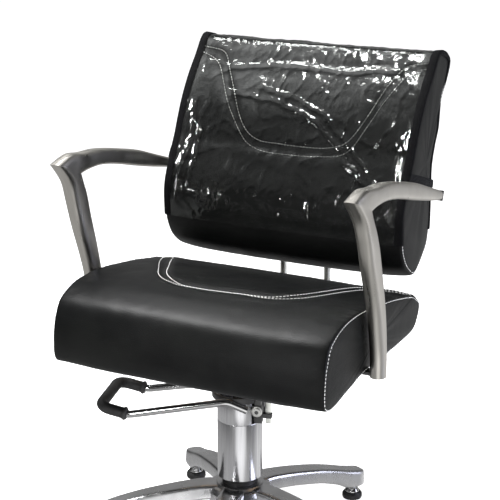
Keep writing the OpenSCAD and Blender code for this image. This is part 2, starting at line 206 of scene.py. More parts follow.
def bevelled(node, body, material, width=0.6):
    """A CAD node's shape with its edges broken, as a made part has."""
    source = frame["nodes"][node].data
    bm = bmesh.new()
    bm.from_mesh(source)
    bmesh.ops.scale(bm, vec=(1 / MM, 1 / MM, 1 / MM), verts=bm.verts)
    bmesh.ops.remove_doubles(bm, verts=bm.verts, dist=0.01)
    bmesh.ops.dissolve_limit(bm, angle_limit=math.radians(1), verts=bm.verts, edges=bm.edges)
    edges = [e for e in bm.edges if len(e.link_faces) == 2 and e.calc_face_angle(0) > math.radians(35)]
    bmesh.ops.bevel(
        bm, geom=edges, offset=width, segments=2, profile=0.6, affect="EDGES", clamp_overlap=True
    )
    return piece(f"{node}_made", body, material, bm, (node,), sharp=30)


def box_mm(node):
    low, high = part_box(node)
    return low / MM, high / MM


# ---------------------------------------------------------------- materials

class Finish:
    """A node material on object coordinates, in metres."""

    def __init__(self, name, **sockets):
        self.material = bpy.data.materials.new(name)
        self.material.use_nodes = True
        self.tree = self.material.node_tree
        self.shader = self.tree.nodes["Principled BSDF"]
        self.output = self.tree.nodes["Material Output"]
        self.place = self.tree.nodes.new("ShaderNodeTexCoord").outputs["Object"]
        self.normal = None
        for key, value in sockets.items():
            self.shader.inputs[key.replace("_", " ")].default_value = value

    def add(self, kind, inputs=None, **settings):
        node = self.tree.nodes.new(kind)
        for key, value in settings.items():
            setattr(node, key, value)
        for key, value in (inputs or {}).items():
            if isinstance(value, bpy.types.NodeSocket):
                self.tree.links.new(value, node.inputs[key])
            else:
                node.inputs[key].default_value = value
        return node

    def stretched(self, scale):
        return self.add("ShaderNodeVectorMath", {0: self.place, 1: scale}, operation="MULTIPLY").outputs[0]

    def noise(self, scale, detail=3.0, stretch=(1, 1, 1)):
        at = self.stretched(stretch)
        return self.add("ShaderNodeTexNoise", {"Vector": at, "Scale": scale, "Detail": detail}).outputs[0]

    def cells(self, scale, feature="F1", stretch=(1, 1, 1)):
        at = self.stretched(stretch)
        node = self.add("ShaderNodeTexVoronoi", {"Vector": at, "Scale": scale}, feature=feature)
        return node.outputs["Distance"]

    def waves(self, scale, axis="X", distortion=0.0):
        return self.add(
            "ShaderNodeTexWave",
            {"Vector": self.place, "Scale": scale, "Distortion": distortion, "Detail": 1.0},
            bands_direction=axis,
        ).outputs["Fac"]

    def spread(self, socket, low, high, out_low=0.0, out_high=1.0):
        values = {"Value": socket, "From Min": low, "From Max": high, "To Min": out_low, "To Max": out_high}
        return self.add("ShaderNodeMapRange", values).outputs["Result"]

    def math(self, operation, a, b=0.0):
        return self.add("ShaderNodeMath", {0: a, 1: b}, operation=operation).outputs[0]

    def colours(self, factor, a, b):
        node = self.add("ShaderNodeMix", data_type="RGBA")
        self.tree.links.new(factor, node.inputs[0])
        node.inputs[6].default_value = (*a, 1)
        node.inputs[7].default_value = (*b, 1)
        return node.outputs[2]

    def worn(self, low=0.5, high=0.56):
        """1 along outer edges, 0 elsewhere."""
        point = self.add("ShaderNodeNewGeometry").outputs["Pointiness"]
        return self.spread(point, low, high)

    def bump(self, height, distance, strength=1.0):
        values = {"Height": height, "Distance": distance, "Strength": strength}
        if self.normal is not None:
            values["Normal"] = self.normal
        self.normal = self.add("ShaderNodeBump", values).outputs[0]
        self.tree.links.new(self.normal, self.shader.inputs["Normal"])

    def link(self, socket, name):
        self.tree.links.new(socket, self.shader.inputs[name])


def leather():
    f = Finish("black_leather", Specular_IOR_Level=0.2, IOR=1.45)
    patches = f.spread(f.noise(9, 3), 0.3, 0.7)
    f.link(f.colours(patches, (0.003, 0.0032, 0.0035), (0.007, 0.0075, 0.007)), "Base Color")
    f.link(f.spread(f.noise(14, 4), 0.3, 0.7, 0.36, 0.46), "Roughness")
    f.bump(f.noise(35, 3), 0.0012, 0.35)
    f.bump(f.cells(620), 0.00035, 0.5)
    f.bump(f.noise(1900, 2), 0.00012, 0.4)
    return f.material


def metal(name, colour, dark, rough, streak=(1, 1, 1), scale=60, bump=0.00003):
    """Bare metal: streaked or cloudy colour and roughness."""
    f = Finish(name, Metallic=1.0)
    grain = f.noise(scale, 5, streak)
    f.link(f.colours(f.spread(grain, 0.3, 0.7), dark, colour), "Base Color")
    f.link(f.spread(f.noise(scale * 0.7, 4, streak), 0.25, 0.75, rough * 0.75, rough * 1.3), "Roughness")
    f.bump(f.noise(scale * 5, 3, streak), bump, 0.5)
    return f.material


def moulded(name, colour, light, rough, grain=900, depth=0.0001):
    """Rubber, plastic or enamel: fine grain, paler where it is rubbed."""
    f = Finish(name, Specular_IOR_Level=0.45)
    f.link(f.colours(f.worn(0.51, 0.58), colour, light), "Base Color")
    f.link(f.spread(f.noise(40, 3), 0.3, 0.7, rough * 0.85, rough * 1.15), "Roughness")
    f.bump(f.noise(grain, 3), depth, 0.5)
    return f.material


def woven(name, colour, light, rough, pitch=1400):
    """Narrow woven tape: two crossed sets of ribs."""
    f = Finish(name, Specular_IOR_Level=0.06, Sheen_Weight=0.02, Sheen_Roughness=0.4)
    f.shader.inputs["Sheen Tint"].default_value = (0.5, 0.52, 0.55, 1)
    ribs = f.math("MULTIPLY", f.waves(pitch, "X"), f.waves(pitch, "Z"))
    f.link(f.colours(ribs, colour, light), "Base Color")
    f.link(f.spread(f.noise(60), 0.3, 0.7, rough * 0.9, rough * 1.1), "Roughness")
    f.bump(f.noise(160, 3), 0.0006, 0.4)
    f.bump(ribs, 0.0003, 0.7)
    return f.material


def plywood():
    f = Finish("plywood", Roughness=0.7)
    f.link(f.colours(f.noise(30, 6, (1, 12, 12)), (0.16, 0.1, 0.05), (0.28, 0.2, 0.12)), "Base Color")
    f.bump(f.noise(120, 4, (1, 10, 10)), 0.0002, 0.5)
    return f.material


def thread():
    f = Finish("white_thread", Sheen_Weight=0.2)
    twist = f.waves(900, "DIAGONAL")
    # darker in the grooves of the twist and lighter on its ridges: painted shade in the grooves
    f.link(f.colours(twist, (0.85, 0.85, 0.82), (1.0, 1.0, 0.97)), "Base Color")
    f.link(f.spread(f.noise(300), 0.3, 0.7, 0.55, 0.75), "Roughness")
    f.bump(twist, 0.0002, 0.6)
    return f.material


def vinyl():
    """Clear soft film: a mirror skin over see-through, stronger at a slant, a little hazier in random
    patches.
    """
    f = Finish("clear_vinyl", Metallic=1.0)
    f.link(f.colours(f.noise(12, 3), (0.86, 0.9, 0.87), (0.95, 0.96, 0.95)), "Base Color")
    f.link(f.spread(f.noise(25, 4), 0.3, 0.7, 0.07, 0.16), "Roughness")
    f.bump(f.noise(70, 4), 0.0012, 0.5)
    clear = f.add("ShaderNodeBsdfTransparent", {"Color": (0.95, 0.96, 0.955, 1)})
    edge = f.add("ShaderNodeFresnel", {"IOR": 1.5, "Normal": f.normal}).outputs[0]
    haze = f.spread(f.noise(18, 4), 0.3, 0.75, 0.004, 0.02)
    gloss = f.math("MINIMUM", f.math("ADD", f.math("MULTIPLY", edge, 1.1), haze), 0.95)
    mixed = f.add("ShaderNodeMixShader", {0: gloss, 1: clear.outputs[0], 2: f.shader.outputs[0]})
    f.tree.links.new(mixed.outputs[0], f.output.inputs["Surface"])
    return f.material


LEATHER = leather()
THREAD = thread()
VINYL = vinyl()
CHROME = metal("chrome", (0.62, 0.62, 0.62), (0.55, 0.55, 0.55), 0.11, scale=25, bump=0.00001)
COLUMN = metal("column_chrome", (0.72, 0.72, 0.73), (0.6, 0.6, 0.62), 0.2, (1, 1, 0.04), 300)
SATIN = metal("satin_steel", (0.62, 0.6, 0.555), (0.56, 0.54, 0.5), 0.33, (1, 0.15, 0.06), 300, 0.000005)
ALUMINIUM = metal("cast_aluminium", (0.72, 0.72, 0.73), (0.62, 0.62, 0.63), 0.27, scale=35, bump=0.00003)
ZINC = metal("plain_steel", (0.7, 0.7, 0.68), (0.58, 0.58, 0.56), 0.34, scale=200)
BRIGHT = metal("bright_steel", (0.93, 0.94, 0.9), (0.85, 0.86, 0.8), 0.32, scale=90)
BRONZE = metal("bronze", (0.62, 0.42, 0.2), (0.5, 0.32, 0.14), 0.35, scale=150)
ENAMEL = moulded("black_enamel", (0.008, 0.008, 0.008), (0.05, 0.05, 0.05), 0.32, 400, 0.0002)
RUBBER = moulded("black_rubber", (0.01, 0.01, 0.01), (0.035, 0.035, 0.035), 0.55, 1500, 0.00012)
PLASTIC = moulded("black_plastic", (0.009, 0.009, 0.009), (0.04, 0.04, 0.04), 0.4)
TAPE = woven("binding_tape", (0.003, 0.003, 0.0035), (0.009, 0.009, 0.01), 0.6)
ELASTIC = woven("elastic_strap", (0.008, 0.008, 0.009), (0.026, 0.026, 0.028), 0.65, 900)
PLYWOOD = plywood()

NODE_FINISH = {
    "reservoir_floor": ZINC,
    "pump_cylinder": ZINC,
    "base_washer": ZINC,
    "gland_bush": BRONZE,
    "thrust_washer": BRONZE,
    "ram_piston": ZINC,
    "piston_seal": RUBBER,
    "board_screws": ZINC,
    "arm_studs": ZINC,
    "seat_board": PLYWOOD,
    "back_frame": PLYWOOD,
}
for node_name, finish in NODE_FINISH.items():
    materials = frame["nodes"][node_name].data.materials
    materials.clear()
    materials.append(finish)


# ---------------------------------------------------------------- upholstery

class Cushion:
    """A foam shape with a side seam curve, swept across X and crowned between the seams."""

    def __init__(self, node, seam, half, crown, fullness, step=4.0):
        low, _ = box_mm(node)
        self.half = half
        self.round = 4.0
        self.fullness = fullness
        curve = smooth_line([(y, z, 0) for y, z in seam], step, True)
        self.line = [Vector((0, low.y + p.x, low.z + p.y)) for p in curve]
        n = len(self.line)
        self.out = []
        for i in range(n):
            along = self.line[(i + 1) % n] - self.line[i - 1]
            self.out.append(Vector((0, -along.z, along.y)).normalized())
        middle = sum(self.line, Vector()) / n
        if sum(o.dot(p - middle) for o, p in zip(self.out, self.line)) < 0:
            self.out = [-o for o in self.out]
        self.crown = [crown(p - Vector((0, low.y, low.z)), o) for p, o in zip(self.line, self.out)]

    def at(self, x, i, lift=0.0):
        """The point of seam position i at x, with the crown, lifted off the skin."""
        i %= len(self.line)
        share = (1 - min(abs(x) / self.half, 1.0) ** 3) ** self.fullness
        return Vector((x, 0, 0)) + self.line[i] + self.out[i] * (self.crown[i] * share + lift)

    def columns(self, step):
        """(x, inset) from one side seam to the other, with rounded corners at both ends."""
        corner = [
            (self.half - self.round * (1 - math.sin(a)), self.round * (1 - math.cos(a)))
            for a in (math.radians(d) for d in (75, 60, 45, 30, 15, 0))
        ]
        flat = self.half - self.round
        count = round(2 * flat / step)
        across = [(-flat + 2 * flat * k / count, 0.0) for k in range(1, count)]
        return [(-x, d) for x, d in corner] + across + [(x, d) for x, d in reversed(corner)]

    def skin(self, bm, shape, panel_bulge=2.5, step=4.0):
        """The whole closed skin. shape(point, outward, i) gives how far each point stands out."""
        rings = []
        for x, inset in self.columns(step):
            ring = []
            for i in range(len(self.line)):
                p = self.at(x, i, -inset)
                ring.append(p + self.out[i] * shape(p, self.out[i]))
            rings.append(ring)
        for sign in (-1, 1):
            edge = rings[0] if sign < 0 else rings[-1]
            hub = sum(edge, Vector()) / len(edge)
            inner = []
            for s in (0.985, 0.96, 0.92, 0.86, 0.78, 0.68, 0.56, 0.42, 0.28, 0.14):
                out = sign * (panel_bulge * (1 - s**4) - 0.8 * math.exp(-(((1 - s) / 0.02) ** 2)))
                ring = []
                for p in edge:
                    x = sign * self.half + out + self.dent(p, sign)
                    ring.append(Vector((x, hub.y + (p.y - hub.y) * s, hub.z + (p.z - hub.z) * s)))
                inner.append(ring)
            rings = inner[::-1] + rings if sign < 0 else rings + inner
        loft(bm, rings)

    @staticmethod
    def dent(p, sign):
        return 0.5 * noise.noise(Vector((sign * 3, p.y * 0.03, p.z * 0.03)))


def near_line(x, y, line):
    """Distance in the plane from (x, y) to a polyline of (x, y) points."""
    best = 1e9
    for (ax, ay), (bx, by) in zip(line, line[1:]):
        dx, dy = bx - ax, by - ay
        t = max(0.0, min(1.0, ((x - ax) * dx + (y - ay) * dy) / (dx * dx + dy * dy)))
        best = min(best, math.hypot(x - ax - t * dx, y - ay - t * dy))
    return best


STITCH_PROFILE = ((0, 0.3, -0.5), (0.12, 0.85, 0.1), (0.5, 1, 0.35), (0.88, 0.85, 0.1), (1, 0.3, -0.5))


def stitches(name, body, runs, radius=0.75, length=4.8, gap=1.7):
    """White thread over the leather. Each run is a list of (point, outward) about a millimetre apart."""
    bm = bmesh.new()
    count = 0
    for run in runs:
        walked, start = 0.0, 0.0
        marks = [0.0]
        for (a, _), (b, _) in zip(run, run[1:]):
            walked += (b - a).length
            marks.append(walked)

        def where(s):
            k = next((j for j in range(1, len(marks)) if marks[j] >= s), len(marks) - 1)
            t = (s - marks[k - 1]) / max(marks[k] - marks[k - 1], 1e-6)
            return run[k - 1][0].lerp(run[k][0], t), run[k - 1][1].lerp(run[k][1], t).normalized()

        while start + length < walked:
            count += 1
            lean = 0.25 * noise.noise(Vector((count * 1.7, 0.3, 0.9)))
            rings = []
            for share, size, rise in STITCH_PROFILE:
                p, out = where(start + share * length)
                q, _ = where(start + share * length + 0.3)
                along = (q - p).normalized() if (q - p).length > 1e-6 else Vector((1, 0, 0))
                side = along.cross(out).normalized()
                middle = p + out * (radius * rise) + side * (lean * (share - 0.5) * 2)
                turns = [math.pi * k / 3 for k in range(6)]
                spokes = [side * math.cos(a) + out * math.sin(a) for a in turns]
                rings.append([middle + radius * size * spoke for spoke in spokes])
            loft(bm, rings)
            start += length + gap
    return piece(name, body, THREAD, bm, sharp=60)


def dropped(tree, points, direction):
    """Points projected onto a skin along a direction, in millimetres."""
    out = []
    for p in points:
        hit, normal, _, _ = tree.ray_cast(Vector(p) * MM, direction)
        if hit:
            out.append((hit / MM, normal if normal.dot(direction) < 0 else -normal))
    return out


def tree_of(obj):
    return BVHTree.FromPolygons([v.co for v in obj.data.vertices], [p.vertices for p in obj.data.polygons])


# the seat: side seam, then the U seam of its top, from the front corner of its box
seat_low, seat_high = box_mm("seat_cushion")
SEAT_SEAM = [
    (23.4, 16.8), (24.4, 60.8), (32.4, 89.8), (48.4, 115.8), (80.4, 130.8), (119.4, 137.8), (180.4, 136.8),
    (276.4, 123.8), (333.4, 113.8), (397.4, 98.8), (422.4, 86.8), (439.4, 72.8), (434.4, 50.8), (415.4, 30.8),
    (379.4, 24.8), (313.4, 22.8), (204.4, 22.8), (174.4, 20.8), (139.4, 14.8), (104.4, 8.8), (64.4, 1.8),
    (38.4, 4),
]
SEAT_U_OUTER = [
    (-261, 388), (-240, 365), (-219, 322), (-196, 278), (-173, 238), (-152, 201), (-135, 177), (-114, 158),
    (-89, 147), (-60, 141), (-22, 142), (15, 145), (50, 149), (93, 149), (126, 157), (149, 173), (164, 203),
    (178, 253), (188, 296), (200, 341), (226, 371), (261, 388.4),
]
SEAT_U_INNER = [
    (-261, 402), (-232, 390), (-208, 345), (-188, 305), (-168, 266), (-146, 222), (-126, 190), (-104, 167),
    (-84, 153), (-60, 143), (-22, 142), (15, 145), (50, 150), (88, 154), (112, 166), (133, 190), (146, 220),
    (158, 262), (168, 305), (181, 350), (208, 382), (240, 400), (261, 403),
]


def seat_crown(p, out):
    nose = 14 * max(0.0, -out.y) ** 1.5 * smoothstep(-30, 45, p.z)
    return nose + 5 * max(0.0, out.z) + 3 * max(0.0, out.y)


seat = Cushion("seat_cushion", SEAT_SEAM, seat_high.x, seat_crown, 0.6)
inner_u, outer_u = (
    [(p.x, p.y + seat_low.y) for p in smooth_line([(x, y, 0) for x, y in line], 6)]
    for line in (SEAT_U_INNER, SEAT_U_OUTER)
)
last = len(inner_u) - 1
paired = [outer_u[round(k * (len(outer_u) - 1) / last)] for k in range(last + 1)]
middle_u = [((a[0] + b[0]) / 2, (a[1] + b[1]) / 2) for a, b in zip(inner_u, paired)]


def seat_shape(p, out):
    soft = 1.0 * noise.noise(p * 0.011) + 0.35 * noise.noise(p * 0.045)
    sides = smoothstep(seat.half, seat.half - 30, abs(p.x))
    pull = (1 - sides) * 0.9 * noise.noise(Vector((p.x * 0.02, p.y * 0.12, p.z * 0.12)))
    groove = 0.0
    if out.z > 0.35:
        d = near_line(p.x, p.y, middle_u)
        groove = -2.6 * math.exp(-((d / 7.5) ** 2)) + 1.3 * math.exp(-(((d - 20) / 13) ** 2))
        if d < 40:
            groove += 0.6 * math.exp(-d / 14) * noise.noise(Vector((p.x * 0.16, p.y * 0.16, 3.1)))
    return soft + pull + groove * smoothstep(0.35, 0.6, out.z)


bm = bmesh.new()
seat.skin(bm, seat_shape)
seat_skin = piece("seat_upholstery", "seat", LEATHER, bm, ("seat_cushion",), sharp=80)

seat_tree = tree_of(seat_skin)
DOWN, BACKWARD = Vector((0, 0, -1)), Vector((0, 1, 0))
lines = [smooth_line([(x, y, seat_high.z + 60) for x, y in line[::2]], 1.2) for line in (inner_u, outer_u)]
seat_runs = [dropped(seat_tree, line, DOWN) for line in lines]


def side_run(cushion, tree, sign, shrink=3.2):
    """The row of stitches beside a side seam, on the side panel."""
    hub = sum(cushion.line, Vector()) / len(cushion.line)
    path = []
    for p, out in zip(cushion.line, cushion.out):
        path.append((sign * (cushion.half + 60), p.y - out.y * shrink, p.z - out.z * shrink))
    path.append(path[0])
    return dropped(tree, resample([Vector(p) for p in path], 1.2), Vector((-sign, 0, 0)))


seat_runs += [side_run(seat, seat_tree, s) for s in (-1, 1)]
stitches("seat_stitching", "seat", seat_runs)

# the backrest: front of its side seam from the bottom up, then the rear down
back_low, back_high = box_mm("back_cushion")
BACK_SEAM = [
    (47.3, 10.9), (25.6, 27.9), (13.3, 44), (4.1, 63.9), (1.3, 85.9), (3.3, 137), (30.3, 198), (43.3, 223),
    (55.3, 251), (74.3, 290), (100.3, 330), (127.3, 362), (145.6, 385.9), (159.6, 397.9), (177.3, 398),
    (202.6, 387.9), (212.6, 373), (195.3, 342), (172.3, 313), (163.3, 262), (148.3, 232), (135.6, 195.9),
    (134.3, 156), (135.3, 90), (128.3, 50), (102.3, 23.9), (77.6, 6.4), (61.6, 4.9),
]
BACK_UPPER = [
    (-254, 381.9), (-227, 379), (-186, 373), (-165, 347.9), (-142, 315), (-106, 255), (-70, 229.9),
    (-21, 226),
    (31, 224.9), (77, 227.9), (114, 241.9), (143, 287), (166, 339), (185, 365.9), (202, 376), (244, 383),
]
BACK_LOWER = [
    (-254, 371.9), (-228, 368), (-186, 349), (-142, 283), (-100, 231), (-75, 215.9), (-46, 210), (-2, 209),
    (56, 211), (114, 222), (146, 269), (171, 318), (203, 363), (244, 372),
]


def back_crown(p, out):
    return 4 * max(0.0, -out.y) - 4 * max(0.0, out.z) + 3 * max(0.0, out.y) + 11 * max(0.0, -out.z)


back = Cushion("back_cushion", BACK_SEAM, back_high.x, back_crown, 0.5)
upper_u = [(p.x, p.y + back_low.z) for p in smooth_line([(x, z, 0) for x, z in BACK_UPPER], 6)]
lower_u = [(p.x, p.y + back_low.z) for p in smooth_line([(x, z, 0) for x, z in BACK_LOWER], 6)]
between = [
    (x, (z + min(lower_u, key=lambda q: abs(q[0] - x))[1]) / 2) for x, z in upper_u
]


def back_shape(p, out):
    soft = 0.8 * noise.noise(p * 0.012 + Vector((5, 5, 5))) + 0.3 * noise.noise(p * 0.05)
    groove = 0.0
    if out.y < -0.3:
        d = near_line(p.x, p.z, between)
        groove = -2.0 * math.exp(-((d / 8) ** 2)) + 0.9 * math.exp(-(((d - 21) / 13) ** 2))
    return soft + groove * smoothstep(0.3, 0.55, -out.y)


bm = bmesh.new()
back.skin(bm, back_shape)
back_skin = piece("back_upholstery", "seat", LEATHER, bm, ("back_cushion",), sharp=80)
back_tree = tree_of(back_skin)
back_runs = []
for line in (upper_u, lower_u):
    path = smooth_line([(x, back_low.y - 80, z) for x, z in line[::2]], 1.2)
    back_runs.append(dropped(back_tree, path, BACKWARD))
back_runs += [side_run(back, back_tree, s) for s in (-1, 1)]
stitches("back_stitching", "seat", back_runs)


# ---------------------------------------------------------------- the clear cover

cover_low, cover_high = box_mm("cover_front")
rear_low = box_mm("cover_rear")[0]
COVER_HALF = cover_high.x
front_rows = [
    i
    for i, (p, o) in enumerate(zip(back.line, back.out))
    if p.z > cover_low.z and p.y < cover_high.y and (o.y < 0.2 or p.z > cover_high.z - 12)
]
rear_rows = [i for i, p in enumerate(back.line) if p.z > rear_low.z and i > front_rows[-1]]
rear_rows = [front_rows[-1]] + rear_rows


def ridge(x, y, seed, scale):
    """Sharp folds with soft valleys, 0 to 1."""
    value = noise.noise(Vector((x * scale, y * scale, seed)))
    return max(0.0, 1 - abs(value) * 4.5) ** 2


FOLDS = [
    ([(-150, 250), (-60, 245), (20, 220), (90, 175), (150, 110), (205, 88)], 2.6, 4.0),
    ([(-90, 268), (0, 250), (70, 215), (130, 160), (190, 98)], 2.2, 3.5),
    ([(-228, 20), (-222, 90), (-205, 160), (-214, 230)], 2.4, 4.0),
    ([(-200, 60), (-190, 120), (-196, 180)], 1.8, 3.5),
    ([(215, 40), (222, 110), (212, 200)], 2.0, 4.0),
    ([(-170, 300), (-60, 318), (60, 312), (180, 325)], 2.4, 5.0),
]


def wrinkle(x, s, total):
    """Height of the film's folds at x across and s up the sheet, in millimetres."""
    wave = 1.2 * noise.noise(Vector((x * 0.012, s * 0.018, 2.0)))
    wave += 1.3 * ridge(x, s, 7.3, 0.021) + 0.9 * ridge(x, s, 1.1, 0.047) + 0.5 * ridge(x, s, 4.4, 0.11)
    for line, height, width in FOLDS:
        wobble = 5 * noise.noise(Vector((x * 0.03, s * 0.03, 9.0)))
        d = near_line(x + wobble, s + wobble, line)
        wave += height * math.exp(-((d / width) ** 2))
    edge = smoothstep(0, 14, COVER_HALF - abs(x)) * (0.35 + 0.65 * smoothstep(0, 25, s))
    edge *= 0.5 + 0.5 * smoothstep(0, 15, total - s)
    return 1.6 + (1.0 + wave) * edge


def film(name, rows, stands_for, step=3.0, seed=0.0):
    """One sheet of the cover over the backrest, from its first row to its last."""
    bm = bmesh.new()
    count = round(2 * COVER_HALF / step)
    walked = [0.0]
    for a, b in zip(rows, rows[1:]):
        walked.append(walked[-1] + (back.line[b] - back.line[a]).length)
    grid = []
    for k, i in enumerate(rows):
        row = []
        for c in range(count + 1):
            x = -COVER_HALF + 2 * COVER_HALF * c / count
            row.append(bm.verts.new(back.at(x, i, wrinkle(x, walked[k] + seed, walked[-1] + seed))))
        grid.append(row)
    for a, b in zip(grid, grid[1:]):
        for c in range(count):
            bm.faces.new((a[c], a[c + 1], b[c + 1], b[c]))
    obj = piece(name, "seat", VINYL, bm, stands_for, sharp=180)
    return obj


films = [
    film("cover_film_front", front_rows, ("cover_front",)),
    film("cover_film_rear", rear_rows, ("cover_rear",), seed=500.0),
]


def binding(side, sign):
    """Folded tape sewn round the cover's side edge."""
    bm = bmesh.new()
    rows = front_rows + rear_rows[1:]
    inner, outer = COVER_HALF - 3, box_mm(f"cover_binding_{side}")[1 if sign > 0 else 0].x * sign
    rings = []
    for k, i in enumerate(rows):
        top = smoothstep(0.93, 1.0, (back.line[i].z - back_low.z) / (back_high.z - back_low.z))
        puff = 0.5 * noise.noise(Vector((k * 0.55, sign * 4.0, 0)))
        puff += 0.35 * noise.noise(Vector((k * 1.7, sign, 3)))
        thick = 2.8 + 1.4 * top + puff
        wide = 1.2 * noise.noise(Vector((k * 0.3, sign * 2.0, 8)))
        section = [
            (inner + wide, 1.6), (inner + wide - 0.6, thick * 0.6), (inner + wide + 0.8, thick * 0.95),
            ((inner + outer) / 2, thick * 1.08),
            (outer - 1.5, thick * 0.98), (outer - 0.2, thick * 0.55), (outer, -1.0), (outer - 0.2, -6.5),
            (outer - 1.2, -7.2), (outer - 1.5, -3.0),
        ]
        rings.append([back.at(sign * x, i, lift) for x, lift in section])
    loft(bm, rings)
    return piece(f"binding_{side}", "seat", TAPE, bm, (f"cover_binding_{side}",), sharp=60)


# share of the strap's width, and how far that point stands out
STRAP_SECTION = (
    (0, 0), (0.03, 0.9), (0.2, 1.3), (0.5, 1.5), (0.8, 1.3), (0.97, 0.9), (1, 0), (0.97, -0.4), (0.5, -0.4),
    (0.03, -0.4),
)


def strap(side, sign):
    """The elastic across the backrest's side, from the front binding to the rear one."""
    node = f"cover_strap_{side}"
    low, high = box_mm(node)
    upper = [(low.y + 12, high.z), (low.y + 60, high.z - 15), (high.y, low.z + 15)]
    lower = [(low.y, high.z - 20), (low.y + 56, low.z + 16), (high.y - 2, low.z)]
    top_line, low_line = (smooth_line([(y, z, 0) for y, z in line], 4) for line in (upper, lower))
    count = min(len(top_line), len(low_line))
    rings = []
    for k in range(count):
        a = top_line[round(k * (len(top_line) - 1) / (count - 1))]
        b = low_line[round(k * (len(low_line) - 1) / (count - 1))]
        bow = 1.0 * math.sin(math.pi * k / (count - 1))
        ring = []
        for t, out in STRAP_SECTION:
            p = a.lerp(b, t)
            ring.append(Vector((sign * (back.half + 2.2 + out + bow), p.x, p.y)))
        rings.append(ring)
    bm = bmesh.new()
    loft(bm, rings)
    return piece(f"strap_{side}", "seat", ELASTIC, bm, (node,), sharp=60)


for side_name, side_sign in (("left", -1), ("right", 1)):
    binding(side_name, side_sign)
    strap(side_name, side_sign)


# ---------------------------------------------------------------- armrests

arm_low, arm_high = box_mm("arm_right")
POST = [
    ((119, 0), (149, 0)), ((116, 40), (148, 40)), ((105, 90), (142, 90)), ((91, 140), (130, 140)),
    ((65, 210), (108, 210)), ((49, 260), (92, 260)), ((33, 300), (80, 288)), ((-1, 337), (73, 306)),
]
REST = [
    ((-1, 337), (73, 306)), ((43, 347), (86, 308)), ((80, 343), (99, 309)), ((127, 340), (131, 309)),
    ((170, 333), (166, 304)), ((220, 322), (212, 293.5)), ((270, 310), (263, 280)), ((330, 290), (325, 265)),
    ((387, 271), (381, 253)),
]


def arm(side, centre_x):
    """Bent tube, round at the foot and flattened above, folded sharply at the front of the rest."""
    half = (arm_high.x - arm_low.x) / 2

    def rings_of(ribs, spread):
        outer = smooth_line([(*o, 0) for o, _ in ribs], 1.0)
        inner = smooth_line([(*i, 0) for _, i in ribs], 1.0)
        made = []
        for k in range(spread + 1):
            t = k / spread
            o = outer[round(t * (len(outer) - 1))]
            i = inner[round(t * (len(inner) - 1))]
            made.append((o, i))
        return made

    def ring(o, i, square, wide, shift=(0, 0)):
        mid, reach = (o + i) / 2, (o - i) / 2
        points = []
        for k in range(40):
            c, s = math.cos(2 * math.pi * k / 40), math.sin(2 * math.pi * k / 40)
            along = math.copysign(abs(c) ** (2 / square), c)
            across = math.copysign(abs(s) ** (2 / square), s)
            p = mid + reach * along
            x = centre_x + shift[0] + wide * across
            points.append(Vector((x, arm_low.y + shift[1] + p.x, arm_low.z + p.y)))
        return points

    post, rest = rings_of(POST, 60), rings_of(REST, 70)
    rings = []
    for k, (o, i) in enumerate(post):
        t = k / (len(post) - 1)
        lean = (math.copysign(3.5, centre_x) * (1 - smoothstep(0.7, 1, t)), -5 * (1 - t) ** 2)
        square = 2 + 1.3 * smoothstep(0.1, 0.9, t)
        rings.append(ring(o, i, square, half * (0.95 + 0.05 * smoothstep(0, 0.6, t)), lean))
    for o, i in rest[1:]:
        rings.append(ring(o, i, 3.4, half))
    bm = bmesh.new()
    loft(bm, rings, close_start=False, close_end=False)
    foot, end = rings[0], rings[-1]
    for edge_ring in (foot, end):
        bm.verts.ensure_lookup_table()
        found = [min(bm.verts, key=lambda v: (v.co - p).length_squared) for p in edge_ring]
        bm.faces.new(found)
    return piece(f"arm_tube_{side}", "seat", SATIN, bm, (f"arm_{side}",), sharp=24)


arm("left", -(arm_low.x + arm_high.x) / 2)
arm("right", (arm_low.x + arm_high.x) / 2)


# ---------------------------------------------------------------- tubes behind the backrest

def back_tube(side, x):
    node = f"back_tube_{side}"
    low, high = box_mm(node)
    r = (high.x - low.x) / 2
    base, rear = low.z + r, high.y - r
    route = [(x, low.y, base), (x, rear, base), (x, rear, base + 138), (x, rear - 17, high.z - 1)]
    path = resample(filleted(route, (30, 60), 14), 4)
    bm = bmesh.new()
    sweep(bm, path, [r] * len(path))
    piece(f"{node}_made", "seat", BRIGHT, bm, (node,), sharp=50)


for side_name in ("left", "right"):
    low, high = box_mm(f"back_tube_{side_name}")
    back_tube(side_name, (low.x + high.x) / 2)


# ---------------------------------------------------------------- lever

press = next(j for j in frame["joints"] if j["name"] == "lever_press")
pivot = Vector(press["pos_m"]) / MM
across = Vector(press["axis"]).normalized()
along = Vector((across.y, -across.x, 0))
PIVOT_BACK = 38.0
lever_root = Vector((pivot.x, pivot.y, 0)) + along * PIVOT_BACK
ROD = [(-22, 46, 273), (12, 56, 290), (192, 65, 255), (247, 65, 267), (247, 0, 267)]


def lever_point(p):
    return lever_root + along * p[0] + across * p[1] + Vector((0, 0, p[2]))


half_rod = filleted(ROD, (24, 30, 20), 12)
whole_rod = [lever_point(p) for p in half_rod] + [lever_point((p.x, -p.y, p.z)) for p in half_rod[-2::-1]]
ROD_R, GRIP_FROM, GRIP_R, GRIP_END_R, GRIP_BEAD_R = 7.0, 193, 10.4, 9.0, 12.3
rod_path = resample(whole_rod, 3)
bm = bmesh.new()
sweep(bm, rod_path, [ROD_R] * len(rod_path))
piece("lever_rod_made", "lever", CHROME, bm, ("lever_rod",), sharp=50)

grip_path = [p for p in rod_path if (p - lever_root).dot(along) > GRIP_FROM]
ends = [min(k, len(grip_path) - 1 - k) for k in range(len(grip_path))]
grip_radius = [
    GRIP_END_R if k == 0 else GRIP_BEAD_R if k in (1, 2) else GRIP_R + 0.12 * math.sin(k * 2.1) for k in ends
]
bm = bmesh.new()
sweep(bm, grip_path, grip_radius, 28)
piece("lever_grip_made", "lever", RUBBER, bm, ("lever_grip",), sharp=40)


# ---------------------------------------------------------------- column

